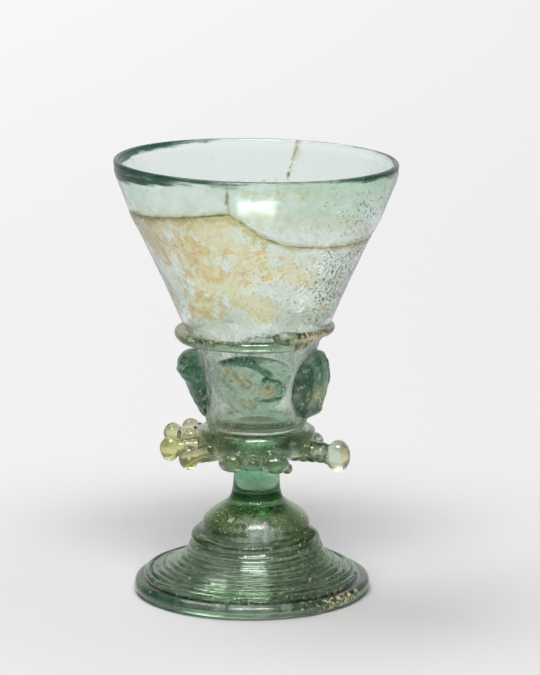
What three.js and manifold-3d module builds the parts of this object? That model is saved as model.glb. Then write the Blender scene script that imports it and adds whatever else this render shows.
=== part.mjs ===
// A stemmed drinking glass of green forest glass: a funnel bowl whose broken rim is glued on again, a hollow
// shaft with four prunts, a collar pulled out into toes, and a bell foot wound with glass thread.
// Millimetres, +Z up, the origin under the middle of the foot. The front looks along -Y, and angles are in
// degrees from the front, positive towards +X.

import * as THREE from 'three';
import { mergeVertices } from 'three/addons/utils/BufferGeometryUtils.js';
import Module from 'manifold-3d';

// Clearances that stand for fused seats, for glued cracks and between the turns of a winding
const seatGap = 0.3;
const seamGap = 0.3;
const windingGap = 0.5;

// Bowl, from the waist up to the lip
const rimRadius = 35.4;
const bowlHeight = 44;
const lipHeight = 3.6;
const lipLean = 0.1;
const beadThickness = 1.7;
const bowlWall = 1.2;
const waistRadius = 17.1;

// Shaft, the hollow stem under the waist
const shoulderHeight = 2.6;
const shaftHeight = 21.4;
const shaftTopRadius = 15.35;
const shaftBaseRadius = 12.8;
const shaftBaseRounding = 1.6;
const shaftWall = 1.4;
const shaftFloor = 2;

// Foot: brim, bell and neck
const brimRadius = 29.8;
const brimThickness = 3.4;
const brimWidth = 3.8;
const brimDrift = -1.2;
const standingWidth = 2.4;
const skirtRadius = 17.4;
const skirtHeight = 8.2;
const bellRadius = 12.6;
const bellHeight = 23;
const shoulderDrop = 3.8;
const footWall = 1.5;
const neckHeight = 19;
const neckRadius = 5.8;
const neckFlare = 1.9;
const neckFlareHeight = 7;
const neckBore = 2.6;
const neckBoreDepth = 6;

// Thread wound on the foot, in a shallow bed under the bell's shoulder
const threadPitch = 1.72;
const firstPitch = 3.1;
const threadBed = 0.6;
const threadTopMargin = 1;
const threadStart = 80;

// Thread round the waist, whose second end climbs over its first
const waistThreadThickness = 2.3;
const waistThreadHeight = 0.3;
const waistThreadClimb = 3.2;
const waistThreadStart = 62;
const waistThreadSweep = 408;
const waistThreadTip = 0.63;

// Prunts on the shaft: each one's width, height and lip are shares of the sizes of a usual one, and the height
// of its middle is a share of the shaft's height
const pruntWidth = 17;
const pruntHeight = 17.5;
const pruntProud = 4.4;
const pruntBody = 2.7;
const pruntEdge = 0.6;
const pruntDrawn = 0.8;
const prunts = [
  { name: 'prunt_left', angle: -100, wide: 1, tall: 1, proud: 1.18, middle: 0.53 },
  { name: 'prunt_front', angle: -5, wide: 1.12, tall: 0.86, proud: 0.86, middle: 0.66 },
  { name: 'prunt_right', angle: 72, wide: 0.94, tall: 1, proud: 0.95, middle: 0.56 },
  { name: 'prunt_back', angle: 170, wide: 1, tall: 0.94, proud: 1, middle: 0.58 },
];

// Collar and its toes: each one's length and knob are shares of the sizes of a usual one, and its slope is its
// rise along its length
const collarRadius = 14.8;
const collarDepth = 10.2;
const toeLength = 10;
const toeKnob = 3;
const toeArm = 2.3;
const toeRoot = 11;
const toeDrop = 4.4;
const toes = [
  { angle: -131, long: 1, knob: 0.9, slope: 0.08 },
  { angle: -113, long: 1.1, knob: 0.9, slope: 0.055 },
  { angle: -84, long: 1.03, knob: 1, slope: -0.04 },
  { angle: -55, long: 0.9, knob: 1, slope: -0.11 },
  { angle: -16, long: 0.86, knob: 1, slope: 0 },
  { angle: 15, long: 0.86, knob: 1, slope: 0 },
  { angle: 62, long: 1.14, knob: 1.1, slope: -0.035 },
  { angle: 137, long: 0.76, knob: 0.8, slope: 0 },
  { angle: 172, long: 0.96, knob: 0.93, slope: 0 },
  { angle: 203, long: 0.92, knob: 0.93, slope: 0 },
];

// Cracks of the rim: the two that run up to the lip, and the long one round the bowl, which runs once round
// from the back crack at shares of its depth there
const frontCrack = -11.4;
const backCrack = 164;
const crackDepth = 10.6;
const longCrack = [
  { angle: backCrack - 360, deep: 1 },
  { angle: -150, deep: 1.04 },
  { angle: -90, deep: 1.16 },
  { angle: -54, deep: 1.07 },
  { angle: -31, deep: 0.92 },
  { angle: frontCrack, deep: 0.77 },
  { angle: 2.8, deep: 1.34 },
  { angle: 21.7, deep: 1.6 },
  { angle: 49, deep: 1.7 },
  { angle: 71.6, deep: 1.75 },
  { angle: 120, deep: 1.6 },
  { angle: backCrack, deep: 1 },
];

// Fineness of the curved faces
const facetsRound = 40;
const toeFacets = 12;
const pruntSpokes = 18;
const crackStep = 4.5;
const stepsPerLoop = 24;
const tubeSides = 6;

// Heights that follow from the sizes above
const shaftBase = bellHeight + neckHeight;
const shaftTop = shaftBase + shaftHeight;
const waist = shaftTop + shoulderHeight;
const lip = waist + bowlHeight;

const wasm = await Module();
wasm.setup();

const glass = new THREE.Group();

function radians(degrees) {
  return THREE.MathUtils.degToRad(degrees);
}

// The point at an angle in radians from the front, a distance from the axis and a height.
function around(angle, radius, height) {
  return new THREE.Vector3(radius * Math.sin(angle), -radius * Math.cos(angle), height);
}

// Count + 1 evenly spaced values from 0 to 1.
function shares(count) {
  return Array.from({ length: count + 1 }, (_, i) => i / count);
}

// Turns the faces round if they enclose a negative volume.
function faceOut(geometry) {
  const at = geometry.attributes.position;
  const index = geometry.index.array;
  const corners = [new THREE.Vector3(), new THREE.Vector3(), new THREE.Vector3()];
  let volume = 0;
  for (let i = 0; i < index.length; i += 3) {
    corners.forEach((corner, k) => corner.fromBufferAttribute(at, index[i + k]));
    volume += corners[0].dot(corners[1].cross(corners[2]));
  }
  if (volume < 0) {
    for (let i = 0; i < index.length; i += 3) {
      [index[i], index[i + 1]] = [index[i + 1], index[i]];
    }
  }
  return geometry;
}

function surface(points, faces) {
  const geometry = new THREE.BufferGeometry().setFromPoints(points);
  geometry.setIndex(faces);
  return faceOut(geometry);
}

// Joins equal rings of points into one skin, closed by a flat fan at each end.
function skin(rings) {
  const sides = rings[0].length;
  const faces = [];
  for (let i = 0; i < rings.length - 1; i += 1) {
    for (let k = 0; k < sides; k += 1) {
      const here = i * sides + k;
      const beside = i * sides + ((k + 1) % sides);
      faces.push(here, beside, beside + sides, here, beside + sides, here + sides);
    }
  }
  const last = (rings.length - 1) * sides;
  for (let k = 1; k < sides - 1; k += 1) {
    faces.push(0, k + 1, k, last, last + k, last + k + 1);
  }
  return surface(rings.flat(), faces);
}

// Keeps only the positions, merges equal ones and drops faces without area.
function welded(geometry) {
  geometry.deleteAttribute('normal');
  geometry.deleteAttribute('uv');
  const merged = mergeVertices(geometry, 1e-4);
  const index = merged.index.array;
  const kept = [];
  for (let i = 0; i < index.length; i += 3) {
    const [a, b, c] = index.subarray(i, i + 3);
    if (a !== b && b !== c && c !== a) {
      kept.push(a, b, c);
    }
  }
  merged.setIndex(kept);
  return merged;
}

// Revolves a profile of [radius, height] points about the vertical axis.
function turned(profile, facets = facetsRound) {
  const points = profile.map(([radius, height]) => new THREE.Vector2(radius, height));
  const geometry = new THREE.LatheGeometry(points, facets).rotateX(Math.PI / 2);
  return faceOut(welded(geometry));
}

function solid(geometry) {
  const vertProperties = Float32Array.from(geometry.attributes.position.array);
  const triVerts = Uint32Array.from(geometry.index.array);
  return new wasm.Manifold(new wasm.Mesh({ numProp: 3, vertProperties, triVerts }));
}

function geometryOf(manifold) {
  const mesh = manifold.getMesh();
  const geometry = new THREE.BufferGeometry();
  geometry.setAttribute('position', new THREE.BufferAttribute(mesh.vertProperties, 3));
  geometry.setIndex(new THREE.BufferAttribute(mesh.triVerts, 1));
  return geometry;
}

function place(name, geometry, color, roughness, opacity) {
  const look = { color, roughness, metalness: 0, opacity, transparent: true };
  const mesh = new THREE.Mesh(geometry, new THREE.MeshStandardMaterial(look));
  mesh.name = name;
  glass.add(mesh);
}

// The value at a spot between stations of [spot, value], in straight stretches from one to the next.
function between(stations, at) {
  const next = stations.findIndex(([spot]) => spot >= at);
  if (next <= 0) {
    return stations[next < 0 ? stations.length - 1 : 0][1];
  }
  const [[fromSpot, from], [toSpot, to]] = [stations[next - 1], stations[next]];
  return THREE.MathUtils.lerp(from, to, (at - fromSpot) / (toSpot - fromSpot));
}

// Bowl and shaft, blown in one piece and then broken along the cracks

const funnelTop = lip - lipHeight;
const funnelTopRadius = rimRadius - lipLean;
const funnelSlope = (funnelTopRadius - waistRadius) / (funnelTop - waist);

// The outside of the wall as [height, radius], from the top of the base's rounding to the lip.
const wallStations = [
  [shaftBase + shaftBaseRounding, shaftBaseRadius],
  [shaftTop, shaftTopRadius],
  [waist, waistRadius],
  [funnelTop, funnelTopRadius],
  [lip, rimRadius],
];

function wallRadius(height) {
  return between(wallStations, height);
}

// A quarter of a circle, from its lowest point outwards and up.
function rounding(radius, middleRadius, middleHeight) {
  return shares(3).map((share) => {
    const turn = (share * Math.PI) / 2;
    return [middleRadius + radius * Math.sin(turn), middleHeight - radius * Math.cos(turn)];
  });
}

function bead() {
  const radius = beadThickness / 2;
  return shares(4).map((share) => {
    const turn = share * Math.PI;
    return [rimRadius - radius + radius * Math.cos(turn), lip - radius + radius * Math.sin(turn)];
  });
}

function bowlProfile() {
  const shaftHeights = [0.35, 0.7].map((share) => shaftBase + shaftHeight * share);
  const funnelHeights = [waist, (waist + funnelTop) / 2, funnelTop];
  const corner = shaftBaseRounding;
  const floor = shaftBase + shaftFloor;
  return [
    [0, shaftBase],
    ...rounding(corner, shaftBaseRadius - corner, shaftBase + corner),
    ...[...shaftHeights, shaftTop, ...funnelHeights].map((height) => [wallRadius(height), height]),
    ...bead(),
    ...funnelHeights.toReversed().map((height) => [wallRadius(height) - bowlWall, height]),
    ...[shaftTop, ...shaftHeights.toReversed()].map((height) => [wallRadius(height) - shaftWall, height]),
    ...rounding(corner, shaftBaseRadius - shaftWall - corner, floor + corner).toReversed(),
    [0, floor],
  ];
}

// The room above the long crack between two angles, moved down by a drop, as a closed sector.
function aboveCrack(from, to, drop) {
  const depths = longCrack.map(({ angle, deep }) => [angle, deep * crackDepth]);
  const deepest = Math.max(...depths.map(([, depth]) => depth));
  const angles = new Set([from, to, ...depths.map(([angle]) => angle)]);
  for (let angle = from; angle < to; angle += crackStep) {
    angles.add(angle);
  }
  const inner = wallRadius(lip - deepest) - 3 * bowlWall;
  const outer = rimRadius + bowlWall;
  const top = lip + lipHeight;
  const rings = [...angles]
    .filter((angle) => angle >= from && angle <= to)
    .sort((a, b) => a - b)
    .map((angle) => {
      const low = lip - between(depths, angle) - drop;
      const section = [[inner, low], [outer, low], [outer, top], [inner, top]];
      return section.map(([radius, height]) => around(radians(angle), radius, height));
    });
  return solid(skin(rings));
}

function buildBowl() {
  const whole = solid(turned(bowlProfile()));
  const half = seamGap / 2;
  const turn = THREE.MathUtils.radToDeg(half / funnelTopRadius);
  const first = backCrack - 360;
  const left = whole.intersect(aboveCrack(first + turn, frontCrack - turn, -half));
  const right = whole.intersect(aboveCrack(frontCrack + turn, backCrack - turn, -half));
  const body = whole
    .subtract(aboveCrack(first - turn, frontCrack + turn, half))
    .subtract(aboveCrack(frontCrack, backCrack, half));
  place('bowl_body', geometryOf(body), 0xc9cfae, 0.35, 0.5);
  place('rim_fragment_left', geometryOf(left), 0xbfd6cc, 0.08, 0.4);
  place('rim_fragment_right', geometryOf(right), 0xbfd6cc, 0.08, 0.4);
}

// Threads: each is one unbroken tube along a path of { centre, out, down, radius } steps

function tube(path) {
  const turns = shares(tubeSides).slice(0, tubeSides);
  const rings = path.map(({ centre, out, down, radius }) =>
    turns.map((share) => {
      const turn = (share + 0.5 / tubeSides) * 2 * Math.PI;
      const across = out.clone().multiplyScalar(Math.cos(turn) * radius);
      return centre.clone().add(across).addScaledVector(down, Math.sin(turn) * radius);
    }),
  );
  return skin(rings);
}

// The least gap of a tube to itself, between points a quarter of a step apart and over half a loop apart.
function leastGap(path) {
  const parts = 4;
  const points = [];
  for (let i = 0; i < path.length - 1; i += 1) {
    for (let k = 0; k < parts; k += 1) {
      const centre = path[i].centre.clone().lerp(path[i + 1].centre, k / parts);
      points.push({ centre, radius: THREE.MathUtils.lerp(path[i].radius, path[i + 1].radius, k / parts) });
    }
  }
  const apart = (stepsPerLoop / 2) * parts;
  let least = Infinity;
  for (let i = 0; i < points.length; i += 1) {
    for (let k = i + apart; k < points.length; k += 1) {
      const gap = points[i].centre.distanceTo(points[k].centre) - points[i].radius - points[k].radius;
      least = Math.min(least, gap);
    }
  }
  return least;
}

function report(name, path) {
  const loops = (path.length - 1) / stepsPerLoop;
  console.log(`${name}: ${loops.toFixed(1)} loops, least gap to itself ${leastGap(path).toFixed(2)} mm`);
}

// Radii of a path are stretched by this, so that the straight steps between its points stay clear too.
const chordStretch = 1 / Math.cos(Math.PI / stepsPerLoop);

function waistThreadPath() {
  const steps = Math.round((waistThreadSweep / 360) * stepsPerLoop);
  const lean = Math.atan(funnelSlope);
  const rise = waistThreadThickness + windingGap;
  return shares(steps).map((share) => {
    const angle = radians(waistThreadStart - waistThreadSweep * share);
    const height = waist + waistThreadHeight + rise * share ** waistThreadClimb;
    const stepsFromEnd = Math.min(share, 1 - share) * steps;
    const radius = THREE.MathUtils.mapLinear(
      Math.min(stepsFromEnd, 3), 0, 3, waistThreadTip, waistThreadThickness / 2,
    );
    const wall = waistRadius + (height - waist) * funnelSlope;
    const reach = (wall + (seatGap + radius) / Math.cos(lean)) * chordStretch;
    const out = around(angle, Math.cos(lean), -Math.sin(lean));
    const down = around(angle, -Math.sin(lean), -Math.cos(lean));
    return { centre: around(angle, reach, height), out, down, radius };
  });
}

function buildWaistThread() {
  const path = waistThreadPath();
  report('waist_thread', path);
  place('waist_thread', tube(path), 0x8da57f, 0.15, 0.7);
}

// Prunts: each is a low dome with a lip across it above the middle, where its tip was drawn up

function pruntLip(up) {
  return Math.exp(-(((up - 0.55) / 0.32) ** 2));
}

// How thick a prunt is: up runs from -1 to 1, and out from 0 at its middle to 1 at its edge.
function pruntThickness(proud, up, out) {
  const dome = pruntEdge + (pruntBody - pruntEdge) * (1 - out ** 3);
  return dome + (proud * pruntProud - pruntBody) * pruntLip(up) * (1 - out ** 6);
}

// A point of a prunt's raised face or of its seat, which follows the wall.
function pruntPoint({ angle, wide, tall, proud, middle }, out, turn, raised) {
  const up = out * Math.sin(turn);
  const across = out * Math.cos(turn) * (1 + 0.12 * up);
  const height = shaftBase + shaftHeight * middle + (up * tall * pruntHeight) / 2;
  const seat = wallRadius(height) + seatGap;
  const swing = radians(angle) + (across * wide * pruntWidth) / 2 / seat;
  if (!raised) {
    return around(swing, seat, height);
  }
  const drawnUp = pruntDrawn * pruntLip(up) * (1 - out);
  return around(swing, seat + pruntThickness(proud, up, out), height + drawnUp);
}

function pruntGeometry(prunt) {
  const rings = [0.3, 0.55, 0.78, 0.93, 1];
  const sides = [true, false];
  const points = sides.map((raised) => pruntPoint(prunt, 0, 0, raised));
  for (const raised of sides) {
    for (const out of rings) {
      for (let k = 0; k < pruntSpokes; k += 1) {
        points.push(pruntPoint(prunt, out, (k / pruntSpokes) * 2 * Math.PI, raised));
      }
    }
  }
  const vertex = (side, ring, k) => 2 + (side * rings.length + ring) * pruntSpokes + (k % pruntSpokes);
  const faces = [];
  const quad = (a, b, c, d) => faces.push(a, b, c, a, c, d);
  const edge = rings.length - 1;
  for (let k = 0; k < pruntSpokes; k += 1) {
    faces.push(0, vertex(0, 0, k), vertex(0, 0, k + 1));
    faces.push(1, vertex(1, 0, k + 1), vertex(1, 0, k));
    for (let ring = 0; ring < edge; ring += 1) {
      quad(vertex(0, ring, k), vertex(0, ring + 1, k), vertex(0, ring + 1, k + 1), vertex(0, ring, k + 1));
      quad(vertex(1, ring, k), vertex(1, ring, k + 1), vertex(1, ring + 1, k + 1), vertex(1, ring + 1, k));
    }
    quad(vertex(0, edge, k), vertex(1, edge, k), vertex(1, edge, k + 1), vertex(0, edge, k + 1));
  }
  return surface(points, faces);
}

function buildPrunts() {
  for (const prunt of prunts) {
    place(prunt.name, pruntGeometry(prunt), 0x3f6f56, 0.1, 0.8);
  }
}

// Collar round the top of the neck, with its toes

function collarRing() {
  const bore = neckRadius + seatGap;
  const top = shaftBase - seatGap;
  const outline = [[0.5, 1], [0.75, 0.96], [0.93, 0.82], [1, 0.65], [0.93, 0.48], [0.7, 0.33], [0.32, 0.15]];
  const bottom = shaftBase - collarDepth;
  const face = outline.map(([out, up]) => [
    THREE.MathUtils.lerp(bore, collarRadius, out),
    THREE.MathUtils.lerp(bottom, top, up),
  ]);
  return turned([[bore, bottom], [bore, top], ...face, [bore, bottom]]);
}

// A toe is turned about its own axis, from its root in the collar to the round end of its knob.
function toeGeometry({ angle, long, knob, slope }) {
  const length = long * toeLength;
  const radius = knob * toeKnob;
  const arm = [[0, 0], [toeArm * 1.2, 0], [toeArm, length * 0.35], [toeArm * 0.92, length * 0.55]];
  const round = [-30, 0, 30, 60].map((degrees) => [
    radius * Math.cos(radians(degrees)),
    length + radius * Math.sin(radians(degrees)),
  ]);
  const geometry = turned([...arm, ...round, [0, length + radius]], toeFacets);
  const root = around(radians(angle), toeRoot, shaftBase - toeDrop);
  const direction = around(radians(angle), 1, slope).normalize();
  geometry.applyQuaternion(new THREE.Quaternion().setFromUnitVectors(new THREE.Vector3(0, 0, 1), direction));
  return geometry.translate(root.x, root.y, root.z);
}

function buildCollar() {
  const collar = toes.reduce((whole, toe) => whole.add(solid(toeGeometry(toe))), solid(collarRing()));
  place('toed_collar', geometryOf(collar), 0x5a7a3c, 0.12, 0.8);
}

// Foot

// The outside of the bell, from its shoulder down under the thread to the brim.
function bellSide() {
  const shoulder = bellHeight - shoulderDrop;
  const brimEdge = brimRadius - brimWidth;
  const flank = (out, down) =>
    new THREE.Vector2(
      THREE.MathUtils.lerp(bellRadius, skirtRadius, out),
      THREE.MathUtils.lerp(shoulder, skirtHeight, down),
    );
  return new THREE.SplineCurve([
    new THREE.Vector2(bellRadius, shoulder),
    flank(0, 0.18).sub(new THREE.Vector2(threadBed, 0)),
    flank(0.21, 0.45),
    flank(0.58, 0.72),
    flank(1, 1),
    new THREE.Vector2(THREE.MathUtils.lerp(skirtRadius, brimEdge, 0.4), (skirtHeight + brimThickness) / 2),
    new THREE.Vector2(brimEdge, brimThickness * 0.91),
  ]);
}

// The outward normal of a profile that runs downwards, at a share of its length.
function outwards(curve, share) {
  const along = curve.getTangentAt(share);
  return new THREE.Vector2(-along.y, along.x);
}

// The profile moved along its outward normal, as evenly spaced points.
function beside(curve, distance, count) {
  return shares(count).map((share) =>
    curve.getPointAt(share).addScaledVector(outwards(curve, share), distance),
  );
}

function footProfile() {
  const side = bellSide();
  const neckRoot = neckRadius + neckFlare;
  const neck = shares(4).map((share) => [
    neckRadius + neckFlare * share ** 4,
    bellHeight + neckFlareHeight * (1 - share),
  ]);
  const dome = [0.33, 0.66].map((share) => [
    THREE.MathUtils.lerp(neckRoot, bellRadius, share),
    bellHeight - shoulderDrop * share,
  ]);
  const roll = brimThickness / 2;
  const brim = [80, 40, 0, -40, -90].map((degrees) => [
    brimRadius - roll + roll * Math.cos(radians(degrees)),
    roll + roll * Math.sin(radians(degrees)),
  ]);
  const inside = beside(side, -footWall, 10).map((point) => point.toArray());
  const boreTop = bellHeight + neckBoreDepth;
  return [
    [0, shaftBase - seatGap],
    [neckRadius, shaftBase - seatGap],
    ...neck,
    ...dome,
    ...beside(side, 0, 10).map((point) => point.toArray()),
    ...brim,
    [brimRadius - roll - standingWidth, 0],
    ...inside.toReversed().slice(0, -1),
    [neckRoot, bellHeight - footWall * 2],
    [neckBore, bellHeight],
    [neckBore, boreTop - neckBore / 2],
    [neckBore / 2, boreTop],
    [0, boreTop],
  ];
}

// The foot was left a little off centre, so everything in it moves sideways, most at the brim.
function drifted(point) {
  const share = THREE.MathUtils.clamp(1 - point.z / bellHeight, 0, 1);
  point.x += brimDrift * share ** 2;
  return point;
}

function buildFootCore() {
  const geometry = turned(footProfile());
  const at = geometry.attributes.position;
  const point = new THREE.Vector3();
  for (let i = 0; i < at.count; i += 1) {
    drifted(point.fromBufferAttribute(at, i));
    at.setXYZ(i, point.x, point.y, point.z);
  }
  place('foot_core', geometry, 0x5f8268, 0.12, 0.7);
}

// The thread starts at the right, thick, and winds down round the bell to the brim at an even pitch.
function footThreadPath() {
  const side = new THREE.SplineCurve(beside(bellSide(), seatGap + (threadPitch - windingGap) / 2, 14));
  const length = side.getLength();
  const path = [];
  let along = threadTopMargin + (firstPitch - windingGap) / 2;
  for (let i = 0; along < length - threadPitch / 2; i += 1) {
    const loops = i / stepsPerLoop;
    const pitch = threadPitch + (firstPitch - threadPitch) * Math.exp(-(loops ** 2));
    const normal = outwards(side, along / length);
    const thicker = (pitch - threadPitch) / 2;
    const middle = side.getPointAt(along / length).addScaledVector(normal, thicker);
    const angle = radians(threadStart) - loops * 2 * Math.PI;
    path.push({
      centre: drifted(around(angle, middle.x * chordStretch, middle.y)),
      out: around(angle, normal.x, normal.y),
      down: around(angle, normal.y, -normal.x),
      radius: (pitch - windingGap) / 2,
    });
    along += pitch / stepsPerLoop;
  }
  return path;
}

function buildFootThread() {
  const path = footThreadPath();
  report('foot_thread', path);
  place('foot_thread', tube(path), 0x6c8f73, 0.12, 0.7);
}

buildBowl();
buildWaistThread();
buildPrunts();
buildCollar();
buildFootCore();
buildFootThread();

export default glass;
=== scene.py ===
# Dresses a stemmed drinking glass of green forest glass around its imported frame.
# Metres, +Z up, the front looks along -Y. Dictionaries hold millimetres and degrees, and angles
# are counted from the front, positive towards +X.

import math

import bmesh
import bpy
from mathutils import Matrix, Vector, noise


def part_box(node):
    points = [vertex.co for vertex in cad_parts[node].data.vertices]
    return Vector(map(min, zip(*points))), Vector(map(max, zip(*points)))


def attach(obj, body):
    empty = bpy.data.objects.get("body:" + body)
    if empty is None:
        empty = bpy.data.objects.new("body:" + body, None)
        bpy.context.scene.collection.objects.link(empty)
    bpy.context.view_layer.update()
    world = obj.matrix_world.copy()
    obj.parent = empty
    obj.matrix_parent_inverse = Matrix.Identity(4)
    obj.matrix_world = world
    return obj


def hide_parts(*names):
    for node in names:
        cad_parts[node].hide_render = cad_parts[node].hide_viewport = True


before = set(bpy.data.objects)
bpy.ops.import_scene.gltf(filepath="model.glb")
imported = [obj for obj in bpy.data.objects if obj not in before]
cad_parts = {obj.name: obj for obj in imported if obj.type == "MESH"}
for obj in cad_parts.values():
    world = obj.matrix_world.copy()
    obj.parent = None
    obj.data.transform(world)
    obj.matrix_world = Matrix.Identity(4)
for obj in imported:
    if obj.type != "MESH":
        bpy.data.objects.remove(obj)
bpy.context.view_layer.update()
print("frame loaded:", len(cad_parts), "nodes")

mm = 0.001
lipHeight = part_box("rim_fragment_left")[1].z / mm
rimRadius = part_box("rim_fragment_right")[1].x / mm
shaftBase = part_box("bowl_body")[0].z / mm
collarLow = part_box("toed_collar")[0].z / mm
footLow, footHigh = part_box("foot_core")
brimRadius = (footHigh.x - footLow.x) / 2 / mm


# Camera, floor and light

camera = {
    "side": 3.4, "away": 832.7, "height": 242, "down": 12, "lens": 181.8, "sensor": 36, "seesTo": 20000,
}
floorLook = {
    "radius": 4000, "albedo": 0.89, "grain": 0.6, "speckle": 0.015, "rough": 0.9, "shine": 0.1,
    "fadeAt": 10, "fadeFrom": 45, "fadeTo": 150,  # round this place the lit floor gives way to plain white
    # white rising to farWhite far off, and tilt making it brighter to the left, are painted light on the
    # plain white
    "white": 0.872, "farWhite": 0.91, "farFrom": 300, "farTo": 1400, "tilt": 0.00019, "tiltTo": 500,
    "sideFrom": 420, "sideTo": 760, "frontFrom": -400, "frontTo": -800, "beyond": 0.35,  # past the paper
    "mirrored": 0.55,  # share of its brightness that the glass throws back
}
skyLook = {  # brightness of the room at the sine of the elevation
    "steps": [(0.0, 0.8), (0.3, 0.82), (0.5, 0.5), (0.75, 0.24), (1.0, 0.18)],
    "front": 0.4, "frontFrom": 0.8, "frontTo": -0.3,  # share of it left behind the camera
    "side": 0.35, "sideFrom": 0.3, "sideTo": 0.8,  # and at the sides
    "strength": 0.86,
}
lamps = {
    "frontBox": {"azimuth": 0, "elevation": 58, "away": 3600, "wide": 2000, "tall": 1080, "radiance": 12.0},
    "backBox": {"azimuth": -120, "elevation": 67, "away": 3600, "wide": 1900, "tall": 1700, "radiance": 3.4},
}


def around(angle, radius, height):
    turn = math.radians(angle)
    return Vector((radius * math.sin(turn), -radius * math.cos(turn), height)) * mm


def polar(point):  # the angle, radius and height of a point
    x, y, z = point / mm
    return math.degrees(math.atan2(x, -y)), math.hypot(x, y), z


def addObject(name, data):
    made = bpy.data.objects.new(name, data)
    bpy.context.collection.objects.link(made)
    return made


def addMesh(name, bm):
    mesh = bpy.data.meshes.new(name)
    bm.to_mesh(mesh)
    bm.free()
    return addObject(name, mesh)


def makeCamera():
    data = bpy.data.cameras.new("camera")
    data.lens = camera["lens"]
    data.sensor_width = camera["sensor"]
    data.clip_end = camera["seesTo"] * mm
    seen = addObject("camera", data)
    seen.location = Vector((camera["side"], -camera["away"], camera["height"])) * mm
    seen.rotation_euler = (math.radians(90 - camera["down"]), 0, 0)
    bpy.context.scene.camera = seen


def makeLamps():
    for name, lamp in lamps.items():
        data = bpy.data.lights.new(name, "AREA")
        data.shape = "RECTANGLE"
        data.size = lamp["wide"] * mm
        data.size_y = lamp["tall"] * mm
        data.energy = lamp["radiance"] * math.pi * data.size * data.size_y
        light = addObject(name, data)
        lift = math.radians(lamp["elevation"])
        light.location = around(lamp["azimuth"], lamp["away"] * math.cos(lift), lamp["away"] * math.sin(lift))
        light.rotation_euler = (-light.location).to_track_quat("-Z", "Y").to_euler()


# Node helpers

def fill(tree, node, values):  # sets each socket to a value, or links it to another node's socket
    for socket, value in values.items():
        if isinstance(value, bpy.types.NodeSocket):
            tree.links.new(value, node.inputs[socket])
        else:
            node.inputs[socket].default_value = value


def addNode(tree, kind, settings=None, values=None):  # gives the new node's outputs
    made = tree.nodes.new("ShaderNode" + kind)
    for key, value in (settings or {}).items():
        setattr(made, key, value)
    fill(tree, made, values or {})
    return made.outputs


def maths(tree, operation, *numbers):
    return addNode(tree, "Math", {"operation": operation}, dict(enumerate(numbers)))[0]


def times(tree, first, second):
    return maths(tree, "MULTIPLY", first, second)


def mixed(tree, share, first, second):  # numbers
    return addNode(tree, "Mix", {"data_type": "FLOAT"}, {0: share, 2: first, 3: second})[0]


def mixedColour(tree, share, first, second):
    return addNode(tree, "Mix", {"data_type": "RGBA"}, {0: share, 6: first, 7: second})[2]


def ramped(tree, value, low, high, fromValue=0, toValue=1):
    spread = {0: value, 1: low, 2: high, 3: fromValue, 4: toValue}
    return addNode(tree, "MapRange", {"interpolation_type": "SMOOTHSTEP"}, spread)[0]


def placeInMm(tree, stretch=(1, 1, 1)):
    place = addNode(tree, "TexCoord")["Object"]
    size = [1 / (mm * share) for share in stretch]
    return addNode(tree, "Mapping", values={"Vector": place, "Scale": size})[0]


def grain(tree, place, size, detail=2, roughness=0.5, twist=0):
    return addNode(tree, "TexNoise", values={
        "Vector": place, "Scale": 1 / size, "Detail": detail, "Roughness": roughness, "Distortion": twist,
    })[0]


def painted(tree, attribute):
    return addNode(tree, "Attribute", {"attribute_name": attribute})["Fac"]


def rgb(red, green, blue):
    return (red, green, blue, 1.0)


def makeSky():
    world = bpy.data.worlds.new("room")
    world.use_nodes = True
    tree = world.node_tree
    tree.nodes.clear()
    direction = addNode(tree, "TexCoord")["Generated"]
    parts = addNode(tree, "SeparateXYZ", values={0: direction})
    ramp = tree.nodes.new("ShaderNodeValToRGB")
    fill(tree, ramp, {0: parts["Z"]})
    ramp.color_ramp.interpolation = "EASE"
    for _ in skyLook["steps"][2:]:
        ramp.color_ramp.elements.new(0.5)
    for step, (place, level) in zip(ramp.color_ramp.elements, skyLook["steps"]):
        step.position = place
        step.color = rgb(level, level, level)
    behind = ramped(tree, parts["Y"], skyLook["frontTo"], skyLook["frontFrom"], skyLook["front"], 1)
    aside = maths(tree, "ABSOLUTE", parts["X"])
    aside = ramped(tree, aside, skyLook["sideFrom"], skyLook["sideTo"], 1, skyLook["side"])
    strength = times(tree, times(tree, behind, aside), skyLook["strength"])
    room = addNode(tree, "Background", values={"Color": ramp.outputs[0], "Strength": strength})
    addNode(tree, "OutputWorld", values={0: room[0]})
    bpy.context.scene.world = world


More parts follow.
